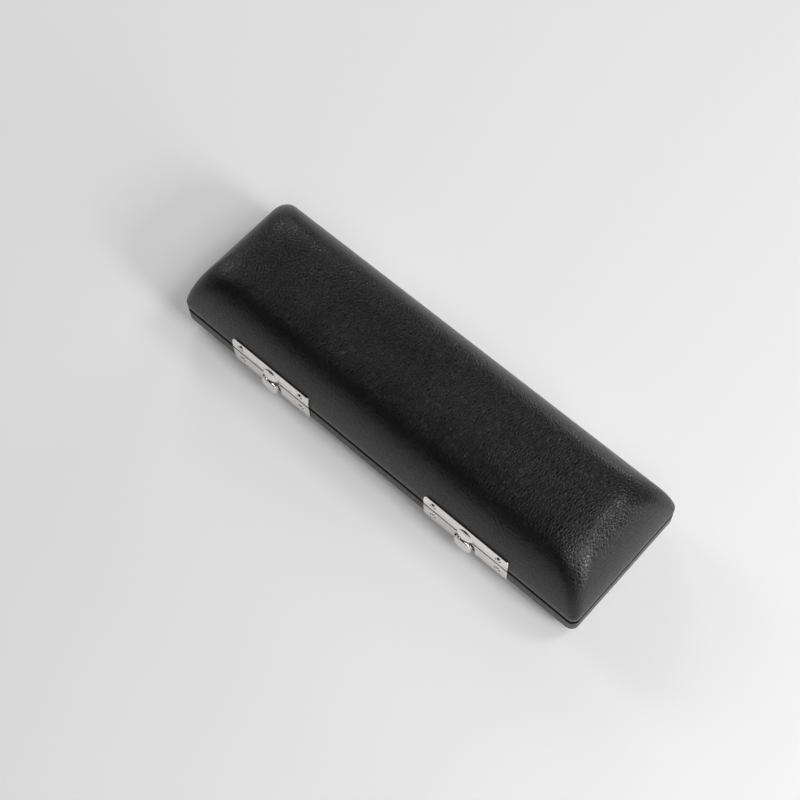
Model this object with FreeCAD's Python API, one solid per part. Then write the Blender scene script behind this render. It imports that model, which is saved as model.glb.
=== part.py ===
import FreeCAD, Part
import math
import os
from collections import namedtuple

# Piccolo case: a leather-covered wooden box with a domed lid, two sliding latches on
# the front and two hinges at the back. All sizes are in millimetres.
# While it is modelled, the origin is in the middle of the parting plane. X runs along
# the case, -Y is the front with the latches, and +Z is up.

# Outer form
length = 230.0
width = 69.0
lid_height = 31.0
base_height = 16.0
corner_radius = 3.6
parting_gap = 0.8

# Upright edge above or below the parting plane, and the rounding that follows it
lid_lip = 4.3
lid_side_run = 33.0
lid_end_run = 31.0
lid_power = 4.2
lid_root = 1.22
base_lip = 7.5
base_run = 12.0
base_power = 2.0
base_root = 2.0
curve_steps = 14

# The arch across the ends would rise this much higher, so that it crosses the long one
lid_end_extra = 0.2
base_end_extra = 0.3

# Layers of the wall, from the outside in
leather = 1.2
glue_line = 0.1
wood = 4.0
lining_gap = 0.3
rim_wall = 1.6
rim_rise = 3.0
rim_depth = 5.0
block_gap = 0.2
lining = 1.2
lining_rise = 1.0

# Fitted block and its channels
block_top = 1.0
plush = 0.8
bond_line = 0.05
body_radius = 12.5
body_depth = 9.6
body_length = 198.0
head_radius = 8.0
head_depth = 7.6
head_length = 150.0
rod_radius = 3.25
rod_depth = 6.5
rod_length = 190.0
notch_radius = 14.0
notch_depth = 7.0

# Pad under the lid
pad_end_margin = 23.0
pad_side_margin = 13.5
pad_clearance = 0.8

# Latches: the pair sits a little off the middle, and the lower plate covers the parting gap
latch_end_distance = 57.5
latch_offset = -1.8
plate_length = 47.0
plate_thickness = 0.5
plate_seat = 0.05
plate_corner = 1.8
plate_gap = 1.2
upper_plate_height = 6.7
lower_plate_height = 9.3
bulge_radius = 4.6
bulge_rise = 1.6
knob_radius = 4.8
knob_thickness = 2.0
knob_round = 0.8
knob_drop = 4.9
knob_clearance = 0.1
neck_radius = 2.0
neck_depth = 0.3
shaft_radius = 1.2
shaft_fit = 0.02
bolt_travel = 3.4
dish_radius = 5.7
dish_wall = 0.5
dish_depth = 1.0
dish_floor = 0.6
dish_gap = 0.1

# Hook strap that hangs from the lid, and the bolt finger that holds it
strap_thickness = 1.0
strap_inset = 1.75
strap_margin = 3.0
strap_low = 2.0
strap_edge = 1.4
tongue_width = 5.7
tongue_reach = 6.8
tongue_edge = 3.3
notch_reach = 3.2
finger_height = 1.4
finger_thickness = 0.8
finger_drop = 4.0
part_clearance = 0.35

# Bolt, housing and spring
bolt_thickness = 0.8
bolt_gap = 0.2
bolt_left = 3.0
bolt_right = 4.5
bolt_half_height = 2.3
web_width = 1.2
lug_thickness = 0.8
lug_half_height = 1.5
lug_reach = 2.15
housing_sheet = 0.4
housing_left = 12.5
housing_right = 14.9
housing_drop = 0.05
housing_bottom = 8.4
housing_gap = 0.15
pocket_clearance = 0.3
wire_radius = 0.17
coil_radius = 0.9
coil_turns = 9
spring_seat = 0.1

# Rivets
rivet_radius = 0.9
rivet_fit = 0.05
rivet_head_radius = 1.25
rivet_head_rise = 0.75
rivet_recess = 0.25
rivet_recess_radius = 1.6
rivet_length = 5.0
rivet_inset = 5.3
upper_rivet_height = 5.6
lower_rivet_drop = 4.6

# Hinges
hinge_end_distance = 55.0
hinge_length = 26.0
hinge_offset = 1.2
knuckle_radius = 1.6
knuckle_count = 5
knuckle_gap = 0.15
pin_radius = 0.7
pin_fit = 0.05
pin_head_radius = 1.1
pin_head = 0.4
leaf_start = 1.95
leaf_end = 8.0
leaf_tab_start = 0.8
hinge_recess_gap = 0.35
hinge_rivet_spread = 18.0
hinge_rivet_height = 5.2

# Sizes that follow from those above
front = -width / 2
back = width / 2
half_gap = parting_gap / 2
wood_outer = leather + glue_line
wood_inner = wood_outer + wood
rim_outer = wood_inner + lining_gap
rim_inner = rim_outer + rim_wall
block_inset = rim_inner + block_gap
lining_inner = rim_outer + lining
lining_low = rim_rise + lining_rise
pad_inset = lining_inner + lining_gap
pad_length = length - 2 * pad_end_margin
pad_width = width - 2 * pad_side_margin
pad_low = block_top - body_depth + 2 * body_radius + pad_clearance
latch_spacing = length - 2 * latch_end_distance
hinge_spacing = length - 2 * hinge_end_distance
plate_face = plate_seat + plate_thickness
lower_plate_top = half_gap
upper_plate_low = lower_plate_top + plate_gap
housing_top = half_gap + housing_drop
dish_top = housing_top + housing_sheet + dish_gap
dish_bottom = housing_bottom - housing_sheet - dish_gap
strap_half_length = plate_length / 2 - strap_margin
strap_high = upper_rivet_height + strap_edge
strap_back = strap_inset + strap_thickness
bolt_front = strap_back + bolt_gap
bolt_back = bolt_front + bolt_thickness
housing_inner = bolt_back + housing_gap
housing_back = housing_inner + housing_sheet
knob_low = plate_face + knob_clearance
rivet_spread = plate_length - 2 * rivet_inset
axis_y = back + hinge_offset

# Reaches that only keep cuts and joints clean, and the least corner that can be rounded
big = 2 * (length + width)
overshoot = 1.0
overlap = 0.5
least_corner = 0.5
side_foot = 2.0
end_foot = 3.0
tolerance = 0.001

# The frame's origin is under the middle of the whole case, latches and hinges included
reach_front = front - knob_low - knob_thickness
reach_back = axis_y + knuckle_radius
to_frame = FreeCAD.Vector(0, -(reach_front + reach_back) / 2, base_height)

Half = namedtuple("Half", "sign lip height side_run end_run power root end_extra")
LID = Half(1, lid_lip, lid_height, lid_side_run, lid_end_run, lid_power, lid_root, lid_end_extra)
BASE = Half(-1, base_lip, base_height, base_run, base_run, base_power, base_root, base_end_extra)


# Small helpers

def at(x, y, z):
    return FreeCAD.Vector(x, y, z)


def box(x0, x1, y0, y1, z0, z1):
    return Part.makeBox(x1 - x0, y1 - y0, z1 - z0, at(x0, y0, z0))


def wall_box(x0, x1, inner0, inner1, z0, z1):
    """A box behind the front wall, with its depth measured inwards from that wall."""
    return box(x0, x1, front + inner0, front + inner1, z0, z1)


def along_y(radius, x, z, y0, y1):
    return Part.makeCylinder(radius, y1 - y0, at(x, y0, z), at(0, 1, 0))


def along_x(radius, y, z, x0, x1):
    return Part.makeCylinder(radius, x1 - x0, at(x0, y, z), at(1, 0, 0))


def join(shapes):
    whole = shapes[0]
    for shape in shapes[1:]:
        whole = whole.fuse(shape)
    return whole.removeSplitter()


def cut_all(shape, tools):
    for tool in tools:
        shape = shape.cut(tool)
    return shape


def rounded_box(half_x, half_y, radius, z0, z1):
    block = box(-half_x, half_x, -half_y, half_y, z0, z1)
    upright = [e for e in block.Edges if abs(e.Vertexes[0].Z - e.Vertexes[1].Z) > (z1 - z0) / 2]
    return block.makeFillet(radius, upright)


def plan_box(inset, z0, z1):
    """A box with the outer plan drawn in all round by the inset."""
    radius = max(corner_radius - inset, least_corner)
    return rounded_box(length / 2 - inset, width / 2 - inset, radius, z0, z1)


def beyond(half, height):
    """The space farther from the parting plane than the given height."""
    low, high = sorted((half.sign * height, half.sign * big))
    return box(-big, big, -big, big, low, high)


# Pillow form shared by every layer of the lid and the base

def quarter_ellipse(start, square_corner, end):
    """The exact quarter of an ellipse that touches both sides of a square corner."""
    curve = Part.BSplineCurve()
    curve.buildFromPolesMultsKnots([start, square_corner, end], [3, 3], [0, 1], False, 2,
                                   [1, math.sqrt(0.5), 1])
    return curve.toShape()


def profile_face(half_extent, half, run, extra, inset, foot_depth, place):
    extent = half_extent - inset
    span = run - inset
    rise = half.height - half.lip - inset + extra
    points = []
    for step in range(curve_steps + 1):
        share = (step / curve_steps) ** 2
        lift = (1 - (1 - share) ** half.power) ** (1 / half.root)
        points.append((share * span, half.lip + rise * lift))

    def corner(side, point):
        return place(side * (extent - point[0]), half.sign * point[1])

    def rounding(side):
        if half.power == half.root == 2:
            return quarter_ellipse(corner(side, points[0]), corner(side, (0, points[-1][1])),
                                   corner(side, points[-1]))
        curve = Part.BSplineCurve()
        spots = [corner(side, p) for p in points]
        upright = place(0, half.sign) - place(0, 0)
        level = place(-side, 0) - place(0, 0)
        curve.interpolate(Points=spots, InitialTangent=upright, FinalTangent=level)
        return curve.toShape()

    foot = (0, -foot_depth)
    edges = [
        Part.makeLine(corner(-1, foot), corner(1, foot)),
        Part.makeLine(corner(1, foot), corner(1, points[0])),
        rounding(1),
        rounding(-1),
        Part.makeLine(corner(-1, points[0]), corner(-1, foot)),
    ]
    if extent - span > tolerance:
        edges.append(Part.makeLine(corner(1, points[-1]), corner(-1, points[-1])))
    return Part.Face(Part.Wire(Part.__sortEdges__(edges)))


def form(half, inset):
    """A length-wise and a cross-wise arch, which meet in the mitred hips."""
    across = profile_face(width / 2, half, half.side_run, 0, inset, side_foot,
                          lambda u, h: at(-length, u, h))
    endways = profile_face(length / 2, half, half.end_run, half.end_extra, inset, end_foot,
                           lambda u, h: at(u, -width, h))
    side = across.extrude(at(2 * length, 0, 0))
    end = endways.extrude(at(0, 2 * width, 0))
    return side.common(mouth(half, inset, half.height - inset + overshoot)).common(end)


def mouth(half, inset, height):
    low, high = sorted((-half.sign * overshoot, half.sign * height))
    return plan_box(inset, low, high)


def leather_cover(half):
    turned_edge = half_gap + leather
    hollow = form(half, leather).common(beyond(half, turned_edge))
    skin = form(half, 0).common(beyond(half, half_gap))
    return skin.cut(hollow).cut(mouth(half, wood_inner, turned_edge + glue_line))


def wood_shell(half):
    wall = form(half, wood_outer).cut(form(half, wood_inner))
    return wall.common(beyond(half, half_gap + leather + glue_line))


def wall_sheet(half):
    """A sheet of plate metal that lies on the outer wall and follows it."""
    return form(half, -plate_face).cut(form(half, -plate_seat))


# Fitted block with its channels

def channel_places():
    radii = (head_radius, body_radius, rod_radius)
    depths = (head_depth, body_depth, rod_depth)
    lengths = (head_length, body_length, rod_length)
    block_width = width - 2 * block_inset
    rib = (block_width - 2 * sum(radii)) / (len(radii) + 1)
    y = -block_width / 2
    places = []
    for radius, depth, reach in zip(radii, depths, lengths):
        centre = y + rib + radius
        places.append((centre, block_top - depth + radius, radius, reach / 2))
        y = centre + radius
    return places


def channel_cut(grow):
    cutters = []
    for y, z, radius, reach in channel_places():
        wide = radius + grow
        cutters.append(along_x(wide, y, z, -reach - grow, reach + grow))
        cutters.append(box(-reach - grow, reach + grow, y - wide, y + wide, z, block_top + big))
    head, body = channel_places()[:2]
    notch_z = block_top - notch_depth + notch_radius
    cutters.append(along_y(notch_radius + grow, 0, notch_z, head[0], body[0]))
    return cutters


def block_form(top):
    lower = form(BASE, rim_outer).common(plan_box(block_inset, -base_height, top))
    return join([lower, plan_box(block_inset, -half_gap, top)])


def fitted_block():
    core = block_form(block_top - plush - bond_line)
    return cut_all(core, channel_cut(plush + bond_line))


def block_plush():
    skin = cut_all(block_form(block_top), channel_cut(0))
    core = cut_all(block_form(block_top - plush), channel_cut(plush))
    return skin.cut(core)


def alignment_rim():
    outer = plan_box(rim_outer, -rim_depth, rim_rise)
    return outer.cut(plan_box(rim_inner, -rim_depth - overshoot, rim_rise + overshoot))


def lid_lining():
    wall = form(LID, rim_outer).cut(form(LID, lining_inner))
    return wall.common(beyond(LID, lining_low))


def lid_pad():
    half_x = pad_length / 2
    half_y = pad_width / 2
    space = rounded_box(half_x, half_y, corner_radius, pad_low, lid_height)
    return form(LID, pad_inset).common(space)


# Latches, each modelled about its own centre line and then moved along the case

def plate_outline(x0, x1, z0, z1, rounded_z, y0, y1):
    sheet = box(x0, x1, y0, y1, z0, z1)
    corners = [e for e in sheet.Edges
               if abs(e.Vertexes[0].Y - e.Vertexes[1].Y) > (y1 - y0) / 2
               and abs(e.Vertexes[0].Z - rounded_z) < tolerance]
    return sheet.makeFillet(plate_corner, corners)


def rivet_holes(z, y0, y1, spread):
    return [along_y(rivet_radius + rivet_fit, x, z, y0, y1) for x in (-spread / 2, spread / 2)]


def rivet_seat(outward):
    """The plane on which the rivet heads of the front or the back wall sit."""
    return outward * (width / 2 + plate_face - rivet_recess)


def rivet_recesses(z, outward, spread):
    """Shallow round recesses in a plate, in which the rivet heads sit."""
    y0, y1 = sorted((rivet_seat(outward), outward * big))
    return [along_y(rivet_recess_radius, x, z, y0, y1) for x in (-spread / 2, spread / 2)]


def bulge(radius_change):
    """A round dome pressed outwards, of which the plate keeps the upper half."""
    sphere_radius = (bulge_radius ** 2 + bulge_rise ** 2) / (2 * bulge_rise)
    centre = front - plate_face - bulge_rise + sphere_radius
    return Part.makeSphere(sphere_radius + radius_change, at(0, centre, upper_plate_low))


def upper_plate():
    half = plate_length / 2
    low = upper_plate_low
    top = low + upper_plate_height
    outline = plate_outline(-half, half, low, top, top, front - big, 0)
    sheet = wall_sheet(LID).common(outline)
    cap = bulge(0).common(wall_box(-half, half, -big, -plate_face, low, top))
    hollow = bulge(-plate_thickness).common(wall_box(-half, half, -big, 0, low, top))
    plate = join([sheet, cap]).cut(hollow)
    holes = rivet_holes(upper_rivet_height, front - big, 0, rivet_spread)
    return cut_all(plate, holes + rivet_recesses(upper_rivet_height, -1, rivet_spread))


def hook_strap():
    strap = wall_box(-strap_half_length, strap_half_length, strap_inset, strap_back, strap_low, strap_high)
    right = -tongue_edge
    left = right - tongue_width
    tongue = wall_box(left, right, strap_inset, strap_back, -tongue_reach, strap_high)
    low = -finger_drop - finger_height / 2 - part_clearance
    high = -finger_drop + finger_height / 2 + part_clearance
    notch = wall_box(right - notch_reach, right + overshoot, 0, housing_back, low, high)
    hook = join([strap, tongue]).cut(notch)
    return cut_all(hook, rivet_holes(upper_rivet_height, front, 0, rivet_spread))


def arch(radius, inner0, inner1, bottom):
    """A round-topped opening about the knob, straight-sided below its centre."""
    crown = along_y(radius, 0, -knob_drop, front + inner0, front + inner1)
    legs = wall_box(-radius, radius, inner0, inner1, -bottom, -knob_drop)
    return crown.fuse(legs).common(wall_box(-radius, radius, inner0, inner1, -bottom, big))


def lower_plate():
    half = plate_length / 2
    top = lower_plate_top
    bottom = top - lower_plate_height
    sheet = plate_outline(-half, half, bottom, top, bottom, front - plate_face, front - plate_seat)
    outside = -plate_face - overshoot
    sheet = sheet.cut(arch(dish_radius, outside, overshoot, overshoot - bottom))
    wall = arch(dish_radius + dish_wall, -plate_face, dish_depth, dish_bottom)
    wall = wall.cut(arch(dish_radius, outside, dish_depth - dish_floor, dish_bottom + overshoot))
    wall = wall.common(wall_box(-half, half, -plate_face, dish_depth, -dish_bottom, -dish_top))
    left = -shaft_radius - part_clearance
    right = bolt_travel + shaft_radius + part_clearance
    slot_half = shaft_radius + part_clearance
    slot = wall_box(left, right, 0, dish_depth + overshoot, -knob_drop - slot_half, -knob_drop + slot_half)
    plate = join([sheet, wall]).cut(slot)
    holes = rivet_holes(-lower_rivet_drop, front - big, 0, rivet_spread)
    return cut_all(plate, holes + rivet_recesses(-lower_rivet_drop, -1, rivet_spread))


def knob():
    face = front - knob_low - knob_thickness
    disc = along_y(knob_radius, 0, -knob_drop, face, front - knob_low)
    rim = [e for e in disc.Edges if abs(e.BoundBox.YMax - face) < tolerance]
    disc = disc.makeFillet(knob_round, rim)
    neck = along_y(neck_radius, 0, -knob_drop, front - knob_low - overlap, front + neck_depth)
    bore_end = front - knob_low - knob_thickness / 2
    bore = along_y(shaft_radius + shaft_fit, 0, -knob_drop, bore_end, front + neck_depth + overshoot)
    return join([disc, neck]).cut(bore)


def bolt():
    body = wall_box(-bolt_left, bolt_right, bolt_front, bolt_back,
                    -knob_drop - bolt_half_height, -knob_drop + bolt_half_height)
    finger_low = -finger_drop - finger_height / 2
    finger_high = -finger_drop + finger_height / 2
    finger_front = strap_inset + (strap_thickness - finger_thickness) / 2
    tip = -tongue_edge - notch_reach + part_clearance
    web_left = -bolt_left
    finger = wall_box(tip, web_left + web_width, finger_front, finger_front + finger_thickness,
                      finger_low, finger_high)
    web = wall_box(web_left, web_left + web_width, finger_front, bolt_back, finger_low, finger_high)
    lug = wall_box(bolt_right - lug_thickness, bolt_right, bolt_back - lug_reach, bolt_back,
                   -knob_drop - lug_half_height, -knob_drop + lug_half_height)
    shaft_end = front - knob_low - knob_thickness / 2 + shaft_fit
    shaft = along_y(shaft_radius, 0, -knob_drop, shaft_end, front + bolt_front + bolt_thickness / 2)
    return join([body, finger, web, lug, shaft])


def housing():
    outer = wall_box(-housing_left, housing_right, plate_seat, housing_back, -housing_bottom, -housing_top)
    inner = wall_box(housing_sheet - housing_left, housing_right - housing_sheet, -overshoot, housing_inner,
                     housing_sheet - housing_bottom, -housing_top - housing_sheet)
    return outer.cut(inner).cut(tongue_space(-housing_top - 2 * housing_sheet, overshoot))


def spring():
    start = bolt_right + spring_seat + wire_radius
    reach = housing_right - housing_sheet - spring_seat - wire_radius - start
    path = Part.makeHelix(reach / coil_turns, reach, coil_radius)
    section = Part.Wire(Part.makeCircle(wire_radius, at(coil_radius, 0, 0), at(0, 1, 0)))
    coil = Part.Wire(path.Edges).makePipeShell([section], True, False)
    quarter_turn = 90
    coil.rotate(at(0, 0, 0), at(0, 1, 0), quarter_turn)
    centre = bolt_back - coil_radius - wire_radius - bolt_gap / 2
    coil.translate(at(start, front + centre, -knob_drop))
    turn = math.hypot(2 * math.pi * coil_radius, reach / coil_turns)
    expected = turn * coil_turns * math.pi * wire_radius ** 2
    print("spring volume", round(coil.Volume, 2), "expected", round(expected, 2))
    return coil


def latch_pocket():
    """The space in leather and wood that the housing fills."""
    return wall_box(-housing_left - pocket_clearance, housing_right + pocket_clearance,
                    -overshoot, housing_back + glue_line, -housing_bottom - pocket_clearance, overshoot)


def strap_pocket():
    return wall_box(-strap_half_length - pocket_clearance, strap_half_length + pocket_clearance,
                    leather, strap_back + pocket_clearance, 0, strap_high + pocket_clearance)


def tongue_space(low, high):
    """The room that the hook's tongue needs on its way into the latch."""
    return wall_box(-tongue_edge - tongue_width - part_clearance, part_clearance - tongue_edge,
                    strap_inset - part_clearance, strap_back + part_clearance, low, high)


def tongue_slot():
    return tongue_space(-overshoot, half_gap + leather + glue_line)


def rivet(x, z, outward):
    face = rivet_seat(outward)
    sphere_radius = (rivet_head_radius ** 2 + rivet_head_rise ** 2) / (2 * rivet_head_rise)
    centre = face + outward * (rivet_head_rise - sphere_radius)
    y0, y1 = sorted((face, outward * big))
    head = Part.makeSphere(sphere_radius, at(x, centre, z)).common(box(-big, big, y0, y1, -big, big))
    shank = sorted((face + outward * rivet_head_rise / 2, face - outward * rivet_length))
    return join([head, along_y(rivet_radius, x, z, shank[0], shank[1])])


# Hinges, each modelled about its own middle and then moved along the case

def knuckles(turn):
    """Every other barrel of the hinge, bored for the pin."""
    pitch = hinge_length / knuckle_count
    barrels = []
    for index in range(turn, knuckle_count, 2):
        start = -hinge_length / 2 + index * pitch + knuckle_gap / 2
        barrels.append((start, start + pitch - knuckle_gap))
    return barrels


def hinge_leaf(half, turn):
    low, high = sorted((half.sign * leaf_start, half.sign * leaf_end))
    sheet = wall_sheet(half)
    parts = [sheet.common(box(-hinge_length / 2, hinge_length / 2, 0, big, low, high))]
    low, high = sorted((half.sign * leaf_tab_start, half.sign * (leaf_start + overlap)))
    for start, end in knuckles(turn):
        parts.append(sheet.common(box(start, end, 0, big, low, high)))
        parts.append(along_x(knuckle_radius, axis_y, 0, start, end))
    leaf = join(parts)
    bore = along_x(pin_radius + pin_fit, axis_y, 0, -hinge_length, hinge_length)
    height = half.sign * hinge_rivet_height
    holes = rivet_holes(height, 0, big, hinge_rivet_spread)
    return cut_all(leaf, [bore] + holes + rivet_recesses(height, 1, hinge_rivet_spread))


def hinge_pin():
    half = hinge_length / 2 + knuckle_gap
    shank = along_x(pin_radius, axis_y, 0, -half, half)
    heads = [along_x(pin_head_radius, axis_y, 0, half, half + pin_head),
             along_x(pin_head_radius, axis_y, 0, -half - pin_head, -half)]
    return join([shank] + heads)


def hinge_recess():
    half = hinge_length / 2 + knuckle_gap + pin_head + hinge_recess_gap
    return along_x(knuckle_radius + hinge_recess_gap, axis_y, 0, -half, half)


# Assembly

def shifted(shape, x):
    moved = shape.copy()
    moved.translate(at(x, 0, 0))
    return moved


def write(name, shape):
    placed = shape.copy()
    placed.translate(to_frame)
    placed.exportStep("parts/" + name + ".step")
    print(name, len(placed.Solids), "solids, valid", placed.isValid(), "volume", round(placed.Volume, 1))


def sides(spacing, offset):
    return (("left", offset - spacing / 2), ("right", offset + spacing / 2))


def main():
    os.makedirs("parts", exist_ok=True)
    latches = sides(latch_spacing, latch_offset)
    hinges = sides(hinge_spacing, 0)

    latch_pockets = [shifted(latch_pocket(), x) for _, x in latches]
    strap_pockets = [shifted(strap_pocket(), x) for _, x in latches]
    tongue_slots = [shifted(tongue_slot(), x) for _, x in latches]
    recesses = [shifted(hinge_recess(), x) for _, x in hinges]
    front_holes = {}
    back_holes = {}
    for half, z in ((LID, upper_rivet_height), (BASE, -lower_rivet_drop)):
        holes = rivet_holes(z, front - overshoot, front + rivet_length, rivet_spread)
        front_holes[half.sign] = [shifted(hole, x) for _, x in latches for hole in holes]
        height = half.sign * hinge_rivet_height
        holes = rivet_holes(height, back - rivet_length, back + overshoot, hinge_rivet_spread)
        back_holes[half.sign] = [shifted(hole, x) for _, x in hinges for hole in holes]

    lid_holes = front_holes[LID.sign] + back_holes[LID.sign]
    base_holes = front_holes[BASE.sign] + back_holes[BASE.sign]
    write("lid_cover", cut_all(leather_cover(LID), tongue_slots + recesses + lid_holes))
    write("lid_shell", cut_all(wood_shell(LID), strap_pockets + lid_holes))
    write("lid_lining", lid_lining())
    write("lid_pad", lid_pad())
    write("base_cover", cut_all(leather_cover(BASE), latch_pockets + recesses + base_holes))
    write("base_shell", cut_all(wood_shell(BASE), latch_pockets + base_holes))
    write("base_rim", alignment_rim())
    write("base_block", fitted_block())
    write("base_plush", block_plush())

    latch_parts = {
        "latch_upper_plate": upper_plate(),
        "latch_hook": hook_strap(),
        "latch_lower_plate": lower_plate(),
        "latch_housing": housing(),
        "latch_bolt": bolt(),
        "latch_knob": knob(),
        "latch_spring": spring(),
    }
    for name, shape in latch_parts.items():
        for side, x in latches:
            write(name + "_" + side, shifted(shape, x))

    hinge_parts = {
        "hinge_lid_leaf": hinge_leaf(LID, 1),
        "hinge_base_leaf": hinge_leaf(BASE, 0),
        "hinge_pin": hinge_pin(),
    }
    for name, shape in hinge_parts.items():
        for side, x in hinges:
            write(name + "_" + side, shifted(shape, x))

    for name, half, z in (("lid", LID, upper_rivet_height), ("base", BASE, -lower_rivet_drop)):
        latch_rivets = [rivet(x + end * rivet_spread / 2, z, -1) for _, x in latches for end in (-1, 1)]
        write("latch_rivets_" + name, Part.makeCompound(latch_rivets))
        hinge_rivets = [rivet(x + end * hinge_rivet_spread / 2, half.sign * hinge_rivet_height, 1)
                        for _, x in hinges for end in (-1, 1)]
        write("hinge_rivets_" + name, Part.makeCompound(hinge_rivets))


main()
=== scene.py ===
import math

import bmesh
import bpy
import numpy as np
from mathutils import Matrix, Vector


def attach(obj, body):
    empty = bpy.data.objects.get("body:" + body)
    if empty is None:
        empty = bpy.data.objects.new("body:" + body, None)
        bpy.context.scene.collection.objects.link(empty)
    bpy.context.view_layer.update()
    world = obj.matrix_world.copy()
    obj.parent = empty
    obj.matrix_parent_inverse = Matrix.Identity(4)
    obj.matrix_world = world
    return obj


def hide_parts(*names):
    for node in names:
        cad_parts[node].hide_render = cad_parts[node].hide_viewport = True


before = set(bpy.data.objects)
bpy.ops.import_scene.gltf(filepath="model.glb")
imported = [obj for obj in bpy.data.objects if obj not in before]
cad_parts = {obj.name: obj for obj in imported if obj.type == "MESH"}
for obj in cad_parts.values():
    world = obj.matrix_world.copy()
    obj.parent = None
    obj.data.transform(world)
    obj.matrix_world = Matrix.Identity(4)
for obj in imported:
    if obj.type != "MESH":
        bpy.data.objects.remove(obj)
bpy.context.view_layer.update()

# Sizes are in millimetres about the middle of the parting plane, and MM and SHIFT take
# them to the frame. The form is the one that the solids have, with softer hips.
MM = 0.001
SHIFT = Vector((0, -0.075, 16))
LENGTH = 230.0
WIDTH = 69.0
CORNER = 3.6
GAP = 0.4
LEATHER = 1.2
GLUE = 0.1
WOOD_INNER = 5.3
RIM_OUTER = 5.6
RIM_INNER = 7.2
LINING_INNER = 6.8
BLOCK_INSET = 7.4


class Half:
    """One half of the case: its upright edge, then a rounding up to the crown."""

    def __init__(self, sign, lip, height, side_run, end_run, power, root, hip):
        self.sign = sign
        self.lip = lip
        self.height = height
        self.side_run = side_run
        self.end_run = end_run
        self.power = power
        self.root = root
        self.hip = hip


LID = Half(1, 4.3, 31.0, 33.0, 31.0, 4.2, 1.22, 13.0)
BASE = Half(-1, 7.5, 16.0, 12.0, 12.0, 2.0, 2.0, 5.0)

CORNER_STEPS = 10
LONG_STEPS = 92
SHORT_STEPS = 26
CURVE_STEPS = 30


# Mesh helpers

def new_object(name, vertices, faces, body, slot, smooth=True):
    mesh = bpy.data.meshes.new(name)
    placed = [(Vector(v) + SHIFT) * MM for v in vertices]
    mesh.from_pydata(placed, [], faces)
    mesh.validate()
    tidy = bmesh.new()
    tidy.from_mesh(mesh)
    bmesh.ops.remove_doubles(tidy, verts=tidy.verts, dist=0.000004)
    bmesh.ops.recalc_face_normals(tidy, faces=tidy.faces)
    tidy.to_mesh(mesh)
    tidy.free()
    if smooth:
        mesh.shade_smooth()
    piece = bpy.data.objects.new(name, mesh)
    bpy.context.scene.collection.objects.link(piece)
    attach(piece, body)
    return piece


def plan_ring(inset, z, radius):
    """A rounded rectangle at the given insets (side, end), walked from the front left."""
    side, end = inset
    half_x = LENGTH / 2 - end
    half_y = WIDTH / 2 - side
    radius = max(min(radius, half_y), 0)
    flat_x = half_x - radius
    flat_y = half_y - radius
    points = []
    corners = ((flat_x, -flat_y, -90), (flat_x, flat_y, 0), (-flat_x, flat_y, 90), (-flat_x, -flat_y, 180))
    for index, (x, y, start) in enumerate(corners):
        before = corners[index - 1]
        steps = LONG_STEPS if index % 2 == 0 else SHORT_STEPS
        turn = math.radians(start)
        here = (x + radius * math.cos(turn), y + radius * math.sin(turn))
        there = (before[0] + radius * math.cos(turn), before[1] + radius * math.sin(turn))
        for step in range(1, steps):
            share = step / steps
            points.append((there[0] + (here[0] - there[0]) * share, there[1] + (here[1] - there[1]) * share, z))
        for step in range(CORNER_STEPS + 1):
            turn = math.radians(start + 90 * step / CORNER_STEPS)
            points.append((x + radius * math.cos(turn), y + radius * math.sin(turn), z))
    return points


def even_ring(inset, z, radius=None):
    if radius is None:
        radius = max(CORNER - inset, 0.5)
    return plan_ring((inset, inset), z, radius)


def crown_rings(half, inset, steps, start=None):
    """The wall's rounding from the upright edge to the crown, and the spine that closes it."""
    rings = []
    rise = half.height - half.lip - inset
    for step in range(steps + 1):
        share = (step / steps) ** 2
        lift = (1 - (1 - share) ** half.power) ** (1 / half.root)
        z = half.lip + rise * lift
        if start is not None and z <= start:
            continue
        side = inset + share * (half.side_run - inset)
        end = inset + share * (half.end_run - inset)
        radius = max(CORNER - inset, 0.5) + half.hip * math.sin(share * math.pi / 2) ** 0.8
        rings.append(plan_ring((side, end), half.sign * z, radius))
    half_y = WIDTH / 2 - half.side_run
    rings.append(plan_ring((WIDTH / 2, half.end_run + half_y), half.sign * (half.height - inset), 0))
    return rings


def ring_mesh(rings, closed=False):
    vertices = [point for ring in rings for point in ring]
    count = len(rings[0])
    faces = []
    pairs = len(rings) if closed else len(rings) - 1
    for r in range(pairs):
        a = r * count
        b = ((r + 1) % len(rings)) * count
        for k in range(count):
            n = (k + 1) % count
            faces.append((a + k, a + n, b + n, b + k))
    return vertices, faces


def wall_rings(half, inset, start, steps=3):
    """The upright edge of a layer, from the given height to where its rounding starts."""
    return [even_ring(inset, half.sign * (start + (half.lip - start) * k / steps)) for k in range(steps)]


def cut_from(piece, cutters):
    """Cuts closed bodies from a piece, and leaves the result in its mesh."""
    for cutter in cutters:
        modifier = piece.modifiers.new("cut", "BOOLEAN")
        modifier.operation = "DIFFERENCE"
        modifier.solver = "EXACT"
        modifier.object = cutter
    bpy.context.view_layer.update()
    depsgraph = bpy.context.evaluated_depsgraph_get()
    result = bpy.data.meshes.new_from_object(piece.evaluated_get(depsgraph))
    piece.modifiers.clear()
    piece.data = result
    for cutter in cutters:
        bpy.data.objects.remove(cutter)


def box_cutter(x0, x1, y0, y1, z0, z1):
    mesh = bpy.data.meshes.new("cutter")
    work = bmesh.new()
    bmesh.ops.create_cube(work, size=1)
    middle = (Vector(((x0 + x1) / 2, (y0 + y1) / 2, (z0 + z1) / 2)) + SHIFT) * MM
    size = Vector((x1 - x0, y1 - y0, z1 - z0)) * MM
    work.transform(Matrix.Translation(middle) @ Matrix.Diagonal((*size, 1)))
    work.to_mesh(mesh)
    work.free()
    cutter = bpy.data.objects.new("cutter", mesh)
    bpy.context.scene.collection.objects.link(cutter)
    return cutter


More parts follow.
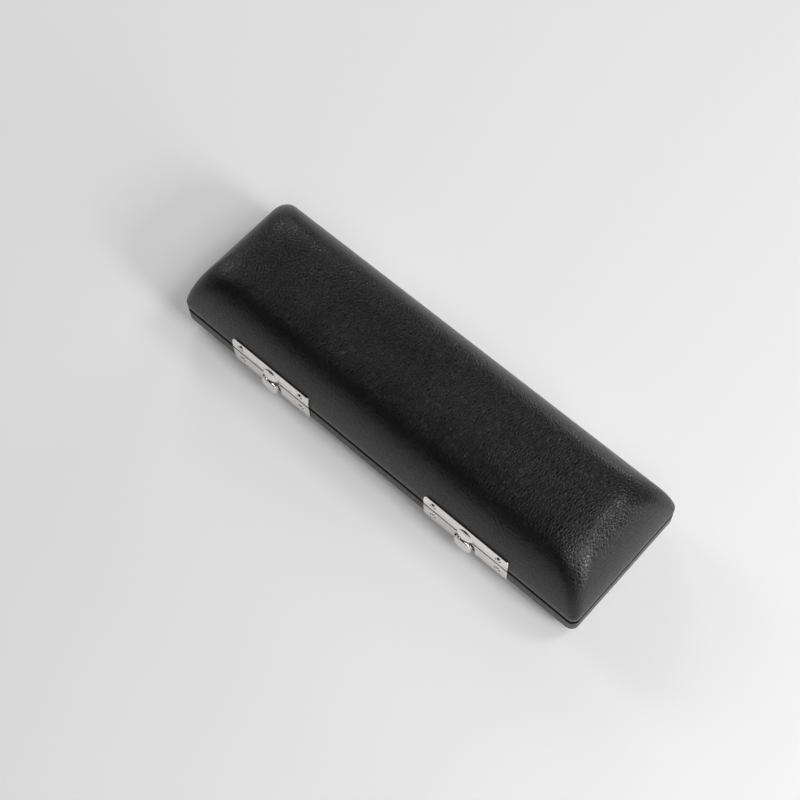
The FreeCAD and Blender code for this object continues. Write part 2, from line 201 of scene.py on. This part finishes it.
def rod_cutter(radius, y, z, x0, x1):
    mesh = bpy.data.meshes.new("cutter")
    work = bmesh.new()
    bmesh.ops.create_cone(work, cap_ends=True, segments=32, radius1=radius * MM, radius2=radius * MM,
                          depth=(x1 - x0) * MM)
    middle = (Vector(((x0 + x1) / 2, y, z)) + SHIFT) * MM
    work.transform(Matrix.Translation(middle) @ Matrix.Rotation(math.pi / 2, 4, "Y"))
    work.to_mesh(mesh)
    work.free()
    cutter = bpy.data.objects.new("cutter", mesh)
    bpy.context.scene.collection.objects.link(cutter)
    return cutter


# Node helpers for the materials

class Shader:
    """A material's node tree, with short ways to add and join nodes."""

    def __init__(self, name):
        self.material = bpy.data.materials.new(name)
        self.material.use_nodes = True
        self.tree = self.material.node_tree
        self.surface = self.tree.nodes["Principled BSDF"]
        self.place = self.node("ShaderNodeTexCoord").outputs["Object"]
        axes = self.node("ShaderNodeSeparateXYZ")
        self.feed(self.place, axes.inputs[0])
        self.height = axes.outputs["Z"]

    def node(self, kind, **settings):
        made = self.tree.nodes.new(kind)
        for key, value in settings.items():
            setattr(made, key, value)
        return made

    def feed(self, value, socket):
        if isinstance(value, bpy.types.NodeSocket):
            self.tree.links.new(value, socket)
        else:
            socket.default_value = value

    def scaled(self, scale, source=None):
        mapping = self.node("ShaderNodeMapping")
        mapping.inputs["Scale"].default_value = scale
        self.feed(source or self.place, mapping.inputs["Vector"])
        return mapping.outputs["Vector"]

    def noise(self, scale, detail=3.0, roughness=0.5, source=None, output="Fac"):
        made = self.node("ShaderNodeTexNoise")
        made.inputs["Scale"].default_value = scale
        made.inputs["Detail"].default_value = detail
        made.inputs["Roughness"].default_value = roughness
        self.feed(source or self.place, made.inputs["Vector"])
        return made.outputs[output]

    def cells(self, scale, feature="F1", source=None, smoothness=0.5, randomness=1.0):
        made = self.node("ShaderNodeTexVoronoi", feature=feature)
        made.inputs["Scale"].default_value = scale
        made.inputs["Randomness"].default_value = randomness
        if feature == "SMOOTH_F1":
            made.inputs["Smoothness"].default_value = smoothness
        self.feed(source or self.place, made.inputs["Vector"])
        return made.outputs["Distance"]

    def math(self, operation, a, b=0.0, clamp=False):
        made = self.node("ShaderNodeMath", operation=operation, use_clamp=clamp)
        self.feed(a, made.inputs[0])
        self.feed(b, made.inputs[1])
        return made.outputs[0]

    def span(self, value, low, high, to_low=0.0, to_high=1.0):
        made = self.node("ShaderNodeMapRange")
        for name, number in (("From Min", low), ("From Max", high), ("To Min", to_low), ("To Max", to_high)):
            made.inputs[name].default_value = number
        self.feed(value, made.inputs["Value"])
        return made.outputs["Result"]

    def blend(self, factor, a, b):
        made = self.node("ShaderNodeMix", data_type="RGBA")
        self.feed(factor, made.inputs[0])
        self.feed(a, made.inputs[6])
        self.feed(b, made.inputs[7])
        return made.outputs[2]

    def moved(self, source, amount, scale):
        """Coordinates pushed about by a noise, so that a pattern on them isn't regular."""
        push = self.noise(scale, 2.0, 0.5, source, "Color")
        centred = self.node("ShaderNodeVectorMath", operation="SUBTRACT")
        self.feed(push, centred.inputs[0])
        centred.inputs[1].default_value = (0.5, 0.5, 0.5)
        sized = self.node("ShaderNodeVectorMath", operation="SCALE")
        self.feed(centred.outputs[0], sized.inputs[0])
        sized.inputs["Scale"].default_value = amount
        added = self.node("ShaderNodeVectorMath", operation="ADD")
        self.feed(source, added.inputs[0])
        self.feed(sized.outputs[0], added.inputs[1])
        return added.outputs[0]

    def bump(self, height, distance, strength=1.0, normal=None):
        made = self.node("ShaderNodeBump")
        made.inputs["Strength"].default_value = strength
        made.inputs["Distance"].default_value = distance
        self.feed(height, made.inputs["Height"])
        if normal is not None:
            self.feed(normal, made.inputs["Normal"])
        return made.outputs["Normal"]

    def openness(self, distance):
        """How open a spot is, from 0 deep in a crease to 1 on an open face."""
        made = self.node("ShaderNodeAmbientOcclusion", samples=8)
        made.inputs["Distance"].default_value = distance
        return made.outputs["AO"]

    def rounded_edges(self, radius):
        made = self.node("ShaderNodeBevel", samples=4)
        made.inputs["Radius"].default_value = radius
        return made.outputs["Normal"]

    def set(self, **sockets):
        for name, value in sockets.items():
            self.feed(value, self.surface.inputs[name.replace("_", " ")])
        return self.material


def leather_material():
    """Black pebble-grained leather: long pebbles across the case, with creases between them,
    painted shade on the dull edges next to the parting line, and painted light on a greyer band near the table."""
    s = Shader("leather")
    place = s.scaled((1.0, 0.62, 0.8), s.moved(s.place, 0.0011, 420))
    pebbles = s.cells(940, "SMOOTH_F1", place, 0.3)
    creases = s.cells(940, "DISTANCE_TO_EDGE", place)
    fine = s.noise(4200, 3.0, 0.6, place)
    broad = s.noise(55, 3.0, 0.55)
    dome = s.span(pebbles, 0.0, 0.75, 1.0, 0.0)
    groove = s.span(creases, 0.0, 0.2, 0.0, 1.0)
    relief = s.math("ADD", s.math("MULTIPLY", dome, 0.45), s.math("MULTIPLY", groove, 0.55))
    depth = s.span(broad, 0.3, 0.7, 0.75, 1.0)
    height = s.math("ADD", s.math("MULTIPLY", relief, depth), s.math("MULTIPLY", fine, 0.04))
    colour = s.blend(groove, (0.002, 0.002, 0.003, 1), (0.004, 0.004, 0.005, 1))
    colour = s.blend(s.span(broad, 0.35, 0.75), colour, (0.006, 0.0057, 0.0066, 1))
    rough = s.math("ADD", s.span(groove, 0, 1, 0.46, 0.28), s.span(fine, 0.3, 0.7, -0.02, 0.03))
    # Painted light: below about 9 to 14.5 mm the leather is coloured a lighter grey, standing in for light on
    # the lower band of the base.
    painted_low_light = s.math("MULTIPLY", s.span(s.height, 0.009, 0.0145, 1.0, 0.0), s.span(broad, 0.25, 0.7, 0.6, 1.0))
    colour = s.blend(painted_low_light, colour, (0.042, 0.041, 0.044, 1))
    # Painted shade: within about 1 to 1.6 mm of the parting line the leather is coloured darker, with less
    # specular and more roughness, standing in for the shade in the gap between lid and base.
    edge = s.span(s.math("ABSOLUTE", s.math("SUBTRACT", s.height, SHIFT.z * MM)), 0.0010, 0.0016, 1.0, 0.0)
    colour = s.blend(edge, colour, (0.0015, 0.0015, 0.002, 1))
    return s.set(Base_Color=colour, Roughness=s.math("ADD", rough, s.math("MULTIPLY", edge, 0.3)),
                 Normal=s.bump(height, 0.00014, 1.0), Specular_IOR_Level=s.span(edge, 0, 1, 0.5, 0.1))


def wood_material():
    """Black-stained moulded wood, which shows only at the rim of an open lid."""
    s = Shader("stained wood")
    along = s.scaled((1.0, 9.0, 9.0))
    grain = s.noise(60, 6.0, 0.65, s.moved(along, 0.01, 20))
    pores = s.noise(900, 2.0, 0.5, s.scaled((0.08, 1.0, 1.0)))
    tone = s.blend(s.span(grain, 0.35, 0.68), (0.018, 0.014, 0.011, 1), (0.05, 0.038, 0.028, 1))
    tone = s.blend(s.span(pores, 0.6, 0.75), tone, (0.006, 0.005, 0.004, 1))
    return s.set(Base_Color=tone, Roughness=s.span(grain, 0.2, 0.8, 0.5, 0.68),
                 Normal=s.bump(s.math("SUBTRACT", grain, pores), 0.00008, 0.6))


def plush_material(name, dark, light):
    """Short-pile plush, with the nap brushed here and there."""
    s = Shader(name)
    nap = s.noise(38, 4.0, 0.6, s.moved(s.place, 0.02, 30))
    pile = s.noise(5200, 2.0, 0.7)
    tufts = s.cells(2600, "F1")
    shade = s.math("ADD", s.math("MULTIPLY", nap, 0.7), s.math("MULTIPLY", pile, 0.45))
    colour = s.blend(s.span(shade, 0.35, 0.8), dark, light)
    height = s.math("SUBTRACT", s.math("MULTIPLY", pile, 0.8), s.math("MULTIPLY", tufts, 0.5))
    return s.set(Base_Color=colour, Roughness=0.95, Normal=s.bump(height, 0.00022, 0.8),
                 Sheen_Weight=0.55, Sheen_Roughness=0.4, Sheen_Tint=(0.55, 0.62, 0.9, 1),
                 Specular_IOR_Level=0.15)


def nickel_material(name, colour, low, high, edge):
    """Plated metal, brushed along the case, with faint handling marks and painted shade in its creases."""
    s = Shader(name)
    brushed = s.noise(1500, 4.0, 0.6, s.scaled((0.05, 1.0, 1.0)))
    marks = s.noise(160, 5.0, 0.65, s.moved(s.place, 0.004, 90))
    scratch = s.span(s.noise(2600, 1.0, 0.5, s.scaled((0.06, 1.0, 0.7), s.moved(s.place, 0.01, 25))),
                     0.66, 0.72)
    tone = s.blend(s.span(marks, 0.35, 0.75), (*colour, 1), (*[c * 0.86 for c in colour], 1))
    rough = s.math("ADD", s.span(brushed, 0.3, 0.7, low, high), s.span(marks, 0.4, 0.8, 0.0, 0.08))
    rough = s.math("ADD", rough, s.math("MULTIPLY", scratch, 0.12))
    # Painted shade: where ambient occlusion finds a crease or recess, around knobs, rivets and between plates,
    # the metal is coloured nearly black.
    tone = s.blend(s.span(s.openness(0.0016), 0.4, 0.8, 0.95, 0.0), tone, (0.015, 0.013, 0.011, 1))
    height = s.math("SUBTRACT", s.math("MULTIPLY", brushed, 0.5), s.math("MULTIPLY", scratch, 0.5))
    normal = s.bump(height, 0.000012, 0.7, s.rounded_edges(edge))
    return s.set(Base_Color=tone, Metallic=1.0, Roughness=rough, Normal=normal)


def floor_material():
    """A pale table, which is seen a little lighter than it lights the case."""
    s = Shader("table")
    tone = s.noise(6, 3.0, 0.5)
    grit = s.noise(900, 2.0, 0.5)
    path = s.node("ShaderNodeLightPath")
    seen = s.math("MAXIMUM", path.outputs["Is Camera Ray"], path.outputs["Is Glossy Ray"])
    seen = s.math("MAXIMUM", seen, path.outputs["Is Transmission Ray"])
    lit = s.blend(tone, (0.795, 0.795, 0.805, 1), (0.815, 0.815, 0.82, 1))
    pale = s.blend(tone, (0.955, 0.955, 0.96, 1), (0.97, 0.97, 0.972, 1))
    return s.set(Base_Color=s.blend(seen, lit, pale), Roughness=0.6, Normal=s.bump(grit, 0.00002, 0.2),
                 Specular_IOR_Level=0.25, Emission_Color=(1, 1, 1, 1),
                 Emission_Strength=s.math("MULTIPLY", seen, FLOOR_GLOW))


# The layers of the lid and the base

def leather_skin(name, half, body, node):
    """The cover, with its edge turned over the wood and in to the rim's space."""
    edge = 1.1
    outer = []
    for step in range(7):
        turn = math.pi / 2 * step / 6
        outer.append(even_ring(edge * (1 - math.sin(turn)), half.sign * (GAP + edge * (1 - math.cos(turn)))))
    outer += wall_rings(half, 0, GAP + edge)[1:]
    outer += crown_rings(half, 0, CURVE_STEPS)
    flange_top = GAP + LEATHER
    fold = 0.35
    flange = [
        even_ring(LEATHER, half.sign * flange_top),
        even_ring(WOOD_INNER - 0.3, half.sign * flange_top),
        even_ring(WOOD_INNER, half.sign * (flange_top - 0.3)),
        even_ring(WOOD_INNER, half.sign * (GAP + fold)),
        even_ring(WOOD_INNER - fold * 0.3, half.sign * (GAP + fold * 0.3)),
        even_ring(WOOD_INNER - fold, half.sign * GAP),
    ]
    inner = wall_rings(half, LEATHER, flange_top)[1:] + crown_rings(half, LEATHER, 16)
    rings = inner[::-1] + flange + outer
    piece = new_object(name, *ring_mesh(rings), body, "leather_black")
    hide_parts(node)
    return piece


def shell_layer(name, half, outer, inner, start, body, slot, node, steps=20):
    """A layer of the wall between two insets, open towards the parting plane."""
    outside = wall_rings(half, outer, start) + crown_rings(half, outer, steps)
    inside = wall_rings(half, inner, start) + crown_rings(half, inner, steps)
    piece = new_object(name, *ring_mesh(inside[::-1] + outside), body, slot)
    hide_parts(node)
    return piece


def alignment_rim():
    """The plush-covered rim that the lid closes over, with its top edge rounded."""
    low = -4.8
    top = 3.0
    radius = (RIM_INNER - RIM_OUTER) / 2
    rings = [even_ring(RIM_OUTER, low), even_ring(RIM_OUTER, top - radius)]
    for step in range(1, 8):
        turn = math.pi * step / 8
        inset = RIM_OUTER + radius * (1 - math.cos(turn))
        rings.append(even_ring(inset, top - radius + radius * math.sin(turn)))
    rings += [even_ring(RIM_INNER, top - radius), even_ring(RIM_INNER, low)]
    piece = new_object("rim_cover", *ring_mesh(rings, closed=True), "base", "plush_blue")
    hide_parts("base_rim")
    return piece


# Fitted tray: channels for the head joint, the body joint and a rod

CHANNELS = ((-17.425, 8.0, 7.6, 75.0), (4.75, 12.5, 9.6, 99.0), (22.175, 3.25, 6.5, 95.0))
TRAY_TOP = 1.0


def soft_min(a, b, soft):
    return -soft * np.logaddexp(-a / soft, -b / soft)


def soft_max(a, b, soft):
    return soft * np.logaddexp(a / soft, b / soft)


def tray_height(x, y):
    surface = np.full(x.shape, TRAY_TOP)
    for centre, radius, depth, reach in CHANNELS:
        middle = TRAY_TOP - depth + radius
        across = np.abs(y - centre)
        round_part = middle - np.sqrt(np.clip(radius ** 2 - across ** 2, 0, None))
        steep = (across - radius) * 12 + middle
        trough = np.where(across < radius, round_part, steep)
        stop = TRAY_TOP + (np.abs(x) - reach) * 9
        trough = soft_max(trough, stop, 0.35)
        surface = soft_min(surface, trough, 0.3)
    notch_radius = 14.0
    notch = TRAY_TOP - 7.0 + notch_radius - np.sqrt(np.clip(notch_radius ** 2 - x ** 2, 0.01, None))
    low, high = CHANNELS[0][0], CHANNELS[1][0]
    outside = np.maximum(low - y, y - high)
    notch = soft_max(notch, TRAY_TOP + outside * 6, 0.35)
    return soft_min(surface, np.where(np.abs(x) < notch_radius, notch, TRAY_TOP + 5), 0.3)


def tray_stations():
    half_x = LENGTH / 2 - BLOCK_INSET
    half_y = WIDTH / 2 - BLOCK_INSET
    edge = [0.0, 0.12, 0.35, 0.7, 1.2]
    xs = {round(sign * (half_x - e), 3) for sign in (-1, 1) for e in edge}
    for _, _, _, reach in CHANNELS:
        xs |= {round(sign * (reach + d), 3) for sign in (-1, 1) for d in np.arange(-2.2, 1.3, 0.25)}
    xs |= {round(14 * math.sin(math.radians(a)), 3) for a in range(-90, 91, 6)}
    xs |= {round(v, 3) for v in np.arange(-106, 106.1, 4)}
    ys = {round(sign * (half_y - e), 3) for sign in (-1, 1) for e in edge}
    for centre, radius, _, _ in CHANNELS:
        ys |= {round(centre + radius * math.sin(math.radians(a)), 3) for a in range(-90, 91, 5)}
        ys |= {round(centre + sign * (radius + d), 3) for sign in (-1, 1) for d in (0.15, 0.35, 0.6, 0.9)}
    ys |= {round(v, 3) for v in np.arange(-26, 26.1, 1)}
    xs = sorted(v for v in xs if abs(v) <= half_x)
    ys = sorted(v for v in ys if abs(v) <= half_y)
    return thinned(xs, 0.09), thinned(ys, 0.09)


def thinned(values, least):
    kept = [values[0]]
    for value in values[1:]:
        if value - kept[-1] >= least:
            kept.append(value)
    kept[-1] = values[-1]
    return np.array(kept)


def fitted_tray():
    xs, ys = tray_stations()
    x, y = np.meshgrid(xs, ys, indexing="ij")
    z = tray_height(x, y)
    edge = np.minimum(LENGTH / 2 - BLOCK_INSET - np.abs(x), WIDTH / 2 - BLOCK_INSET - np.abs(y))
    round_edge = 0.9
    drop = round_edge - np.sqrt(np.clip(round_edge ** 2 - np.clip(round_edge - edge, 0, None) ** 2, 0, None))
    z = z - drop
    vertices = [tuple(p) for p in np.stack([x, y, z], -1).reshape(-1, 3)]
    rows, columns = x.shape
    faces = []
    for i in range(rows - 1):
        for j in range(columns - 1):
            a = i * columns + j
            faces.append((a, a + columns, a + columns + 1, a + 1))
    border = [i * columns for i in range(rows)]
    border += [(rows - 1) * columns + j for j in range(1, columns)]
    border += [i * columns + columns - 1 for i in range(rows - 2, -1, -1)]
    border += [j for j in range(columns - 2, 0, -1)]
    previous = border
    for inset, depth in ((0.0, -5.0), (2.2, -8.6), (7.0, -10.0)):
        share_x = 1 - inset / (LENGTH / 2 - BLOCK_INSET)
        share_y = 1 - inset / (WIDTH / 2 - BLOCK_INSET)
        first = len(vertices)
        vertices += [(vertices[k][0] * share_x, vertices[k][1] * share_y, depth) for k in border]
        ring = list(range(first, first + len(border)))
        for k in range(len(ring)):
            n = (k + 1) % len(ring)
            faces.append((previous[k], previous[n], ring[n], ring[k]))
        previous = ring
    faces.append(tuple(previous))
    piece = new_object("fitted_tray", vertices, faces, "base", "plush_blue")
    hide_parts("base_block", "base_plush")
    return piece


# Pad under the lid

PAD_LOW = 17.2
PAD_HALF = (92.0, 21.0)


def lid_pad():
    """A crowned cushion, pressed flat against the lid above it."""
    half_x, half_y = PAD_HALF
    vertices = []
    faces = []
    rows, columns = 47, 13
    for i in range(rows):
        for j in range(columns):
            u = -1 + 2 * i / (rows - 1)
            v = -1 + 2 * j / (columns - 1)
            corner = 1 - 0.02 * (u * v) ** 4
            x = (half_x - 1.6) * u * corner
            y = (half_y - 1.6) * v * corner
            vertices.append((x, y, PAD_LOW + 0.9))
            vertices.append((x, y, min(pad_ceiling(x, y), 23.3)))
    def spot(i, j, top):
        return 2 * (i * columns + j) + top
    for i in range(rows - 1):
        for j in range(columns - 1):
            faces.append((spot(i, j, 0), spot(i, j + 1, 0), spot(i + 1, j + 1, 0), spot(i + 1, j, 0)))
            faces.append((spot(i, j, 1), spot(i + 1, j, 1), spot(i + 1, j + 1, 1), spot(i, j + 1, 1)))
    for i in range(rows - 1):
        faces.append((spot(i, 0, 0), spot(i + 1, 0, 0), spot(i + 1, 0, 1), spot(i, 0, 1)))
        faces.append((spot(i + 1, columns - 1, 0), spot(i, columns - 1, 0),
                      spot(i, columns - 1, 1), spot(i + 1, columns - 1, 1)))
    for j in range(columns - 1):
        faces.append((spot(0, j + 1, 0), spot(0, j, 0), spot(0, j, 1), spot(0, j + 1, 1)))
        faces.append((spot(rows - 1, j, 0), spot(rows - 1, j + 1, 0),
                      spot(rows - 1, j + 1, 1), spot(rows - 1, j, 1)))
    piece = new_object("lid_cushion", vertices, faces, "lid", "plush_blue")
    piece.parent = None
    piece.matrix_world = Matrix.Identity(4)
    inflate(piece, 1.3)
    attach(piece, "lid")
    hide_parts("lid_pad")
    return piece


def pad_ceiling(x, y):
    """The height of the lining above a point, less a little clearance."""
    inset = LINING_INNER + 0.4
    heights = []
    for reach, place, run in ((WIDTH / 2, abs(y), LID.side_run), (LENGTH / 2, abs(x), LID.end_run)):
        share = min(max((reach - inset - place) / (run - inset), 0), 1)
        lift = (1 - (1 - share) ** LID.power) ** (1 / LID.root)
        heights.append(LID.lip + (LID.height - LID.lip - inset) * lift)
    return min(heights)


def inflate(piece, limit):
    """Blows a cushion up a little as cloth, and keeps each point near where it was."""
    scene = bpy.context.scene
    bpy.context.view_layer.objects.active = piece
    remesh = piece.modifiers.new("remesh", "REMESH")
    remesh.mode = "VOXEL"
    remesh.voxel_size = 0.0017
    bpy.ops.object.modifier_apply(modifier="remesh")
    rest = np.array([v.co for v in piece.data.vertices])
    cloth = piece.modifiers.new("cloth", "CLOTH")
    cloth.settings.quality = 5
    cloth.settings.mass = 0.2
    cloth.settings.use_pressure = True
    cloth.settings.uniform_pressure_force = 4
    cloth.settings.effector_weights.gravity = 0
    for number in range(1, 16):
        scene.frame_set(number)
    depsgraph = bpy.context.evaluated_depsgraph_get()
    blown = bpy.data.meshes.new_from_object(piece.evaluated_get(depsgraph))
    moved = np.array([v.co for v in blown.vertices]) - rest
    far = np.linalg.norm(moved, axis=1)
    keep = np.minimum(1, limit * MM / np.maximum(far, 1e-9))
    places = rest + moved * keep[:, None]
    lowest = (PAD_LOW + SHIFT.z) * MM
    places[:, 2] = np.maximum(places[:, 2], lowest)
    piece.modifiers.clear()
    piece.data = blown
    for vertex, place in zip(blown.vertices, places):
        ceiling = (pad_ceiling(place[0] / MM, place[1] / MM - SHIFT.y) + SHIFT.z) * MM
        vertex.co = (place[0], place[1], min(place[2], ceiling))
    scene.frame_set(1)
    finer = piece.modifiers.new("smooth", "SUBSURF")
    finer.levels = 1
    finer.render_levels = 1
    bpy.ops.object.modifier_apply(modifier="smooth")
    piece.data.shade_smooth()


# Camera, light and floor

FOCAL = 1572.0
AZIMUTH = 45.4
ELEVATION = 63.9
ROLL = -3.6
DISTANCE = 695.0


def camera_axes():
    a, e, roll = (math.radians(v) for v in (AZIMUTH, ELEVATION, ROLL))
    back = Vector((math.sin(a) * math.cos(e), -math.cos(a) * math.cos(e), math.sin(e)))
    right = Vector((math.cos(a), math.sin(a), 0))
    up = back.cross(right)
    c, s = math.cos(roll), math.sin(roll)
    return c * right + s * up, -s * right + c * up, back


def add_camera(aim):
    right, up, back = camera_axes()
    data = bpy.data.cameras.new("camera")
    data.sensor_width = 36
    data.lens = FOCAL * data.sensor_width / 800
    data.clip_start = 0.01
    place = (back * DISTANCE - right * aim[0] - up * aim[1] + SHIFT) * MM
    turn = Matrix((right, up, back)).transposed().to_4x4()
    camera = bpy.data.objects.new("camera", data)
    camera.matrix_world = Matrix.Translation(place) @ turn
    bpy.context.scene.collection.objects.link(camera)
    bpy.context.scene.camera = camera


# Each lamp's name, the way it lies from the case in degrees, its power and its width. The
# azimuth starts at +X and turns towards the back.
LAMPS = (
    ("right low", 0, 12, 3.2, 0.42), ("right", 0, 32, 4.8, 0.3), ("right high", 0, 54, 3.0, 0.42),
    ("back right high", 45, 54, 2.7, 0.3), ("back low", 90, 12, 2.3, 0.42),
    ("back left", 135, 32, 2.0, 0.42), ("left", 180, 32, 2.4, 0.42),
    ("front right high", 315, 54, 1.6, 0.42),
)
LAMP_DISTANCE = 1.3
WORLD_LEVEL = 0.02
FLOOR_GLOW = 0.1


def add_lamp(name, azimuth, elevation, power, size):
    data = bpy.data.lights.new(name, "AREA")
    data.size = size
    data.energy = power
    lamp = bpy.data.objects.new(name, data)
    a, e = math.radians(azimuth), math.radians(elevation)
    towards = Vector((math.cos(a) * math.cos(e), math.sin(a) * math.cos(e), math.sin(e)))
    lamp.location = towards * LAMP_DISTANCE
    lamp.rotation_euler = towards.to_track_quat("Z", "Y").to_euler()
    bpy.context.scene.collection.objects.link(lamp)


def add_world(level):
    world = bpy.data.worlds.new("world")
    world.use_nodes = True
    bpy.context.scene.world = world
    background = world.node_tree.nodes["Background"]
    background.inputs["Color"].default_value = (1.0, 1.0, 1.0, 1)
    background.inputs["Strength"].default_value = level


def add_floor():
    mesh = bpy.data.meshes.new("floor")
    work = bmesh.new()
    bmesh.ops.create_grid(work, x_segments=8, y_segments=8, size=3.0)
    work.to_mesh(mesh)
    work.free()
    floor = bpy.data.objects.new("floor", mesh)
    bpy.context.scene.collection.objects.link(floor)
    mesh.materials.append(floor_material())


def paint(piece, material):
    piece.data.materials.clear()
    piece.data.materials.append(material)


# Assembly

bpy.context.scene.view_settings.view_transform = "Standard"

LEATHER_LOOK = leather_material()
WOOD_LOOK = wood_material()
PLUSH_LOOK = plush_material("plush", (0.006, 0.010, 0.035, 1), (0.018, 0.030, 0.095, 1))
SATIN_LOOK = nickel_material("satin nickel", (0.90, 0.865, 0.835), 0.14, 0.25, 0.00014)
BRIGHT_LOOK = nickel_material("bright nickel", (0.82, 0.80, 0.77), 0.10, 0.18, 0.00012)
STEEL_LOOK = nickel_material("spring steel", (0.55, 0.55, 0.56), 0.22, 0.32, 0.00005)

lid_skin = leather_skin("lid_leather", LID, "lid", "lid_cover")
base_skin = leather_skin("base_leather", BASE, "base", "base_cover")
LATCHES = (-59.3, 55.7)
HINGES = (-60.0, 60.0)
FRONT = -WIDTH / 2
AXIS_Y = WIDTH / 2 + 1.2
pockets = [box_cutter(x - 12.8, x + 15.2, FRONT - 1, FRONT + 4.7, -8.7, -0.05) for x in LATCHES]
for skin in (lid_skin, base_skin):
    recesses = [rod_cutter(1.95, AXIS_Y, 0, x - 13.9, x + 13.9) for x in HINGES]
    cut_from(skin, recesses + (pockets if skin is base_skin else []))
    paint(skin, LEATHER_LOOK)

wood_start = GAP + LEATHER + GLUE
for piece in (
    shell_layer("lid_wood", LID, LEATHER + GLUE, WOOD_INNER, wood_start, "lid", "shell_wood", "lid_shell"),
    shell_layer("base_wood", BASE, LEATHER + GLUE, WOOD_INNER, wood_start, "base", "shell_wood", "base_shell"),
):
    paint(piece, WOOD_LOOK)

lining = shell_layer("lid_plush", LID, RIM_OUTER, LINING_INNER, 4.0, "lid", "plush_blue", "lid_lining")
for piece in (lining, alignment_rim(), fitted_tray(), lid_pad()):
    paint(piece, PLUSH_LOOK)

for name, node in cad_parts.items():
    if name.startswith(("latch_knob", "latch_rivets", "hinge_rivets", "hinge_pin")):
        paint(node, BRIGHT_LOOK)
    elif name.startswith("latch_spring"):
        paint(node, STEEL_LOOK)
    elif name.startswith(("latch", "hinge")):
        paint(node, SATIN_LOOK)

add_floor()
add_world(WORLD_LEVEL)
for lamp in LAMPS:
    add_lamp(*lamp)
add_camera((9.72, -1.84))
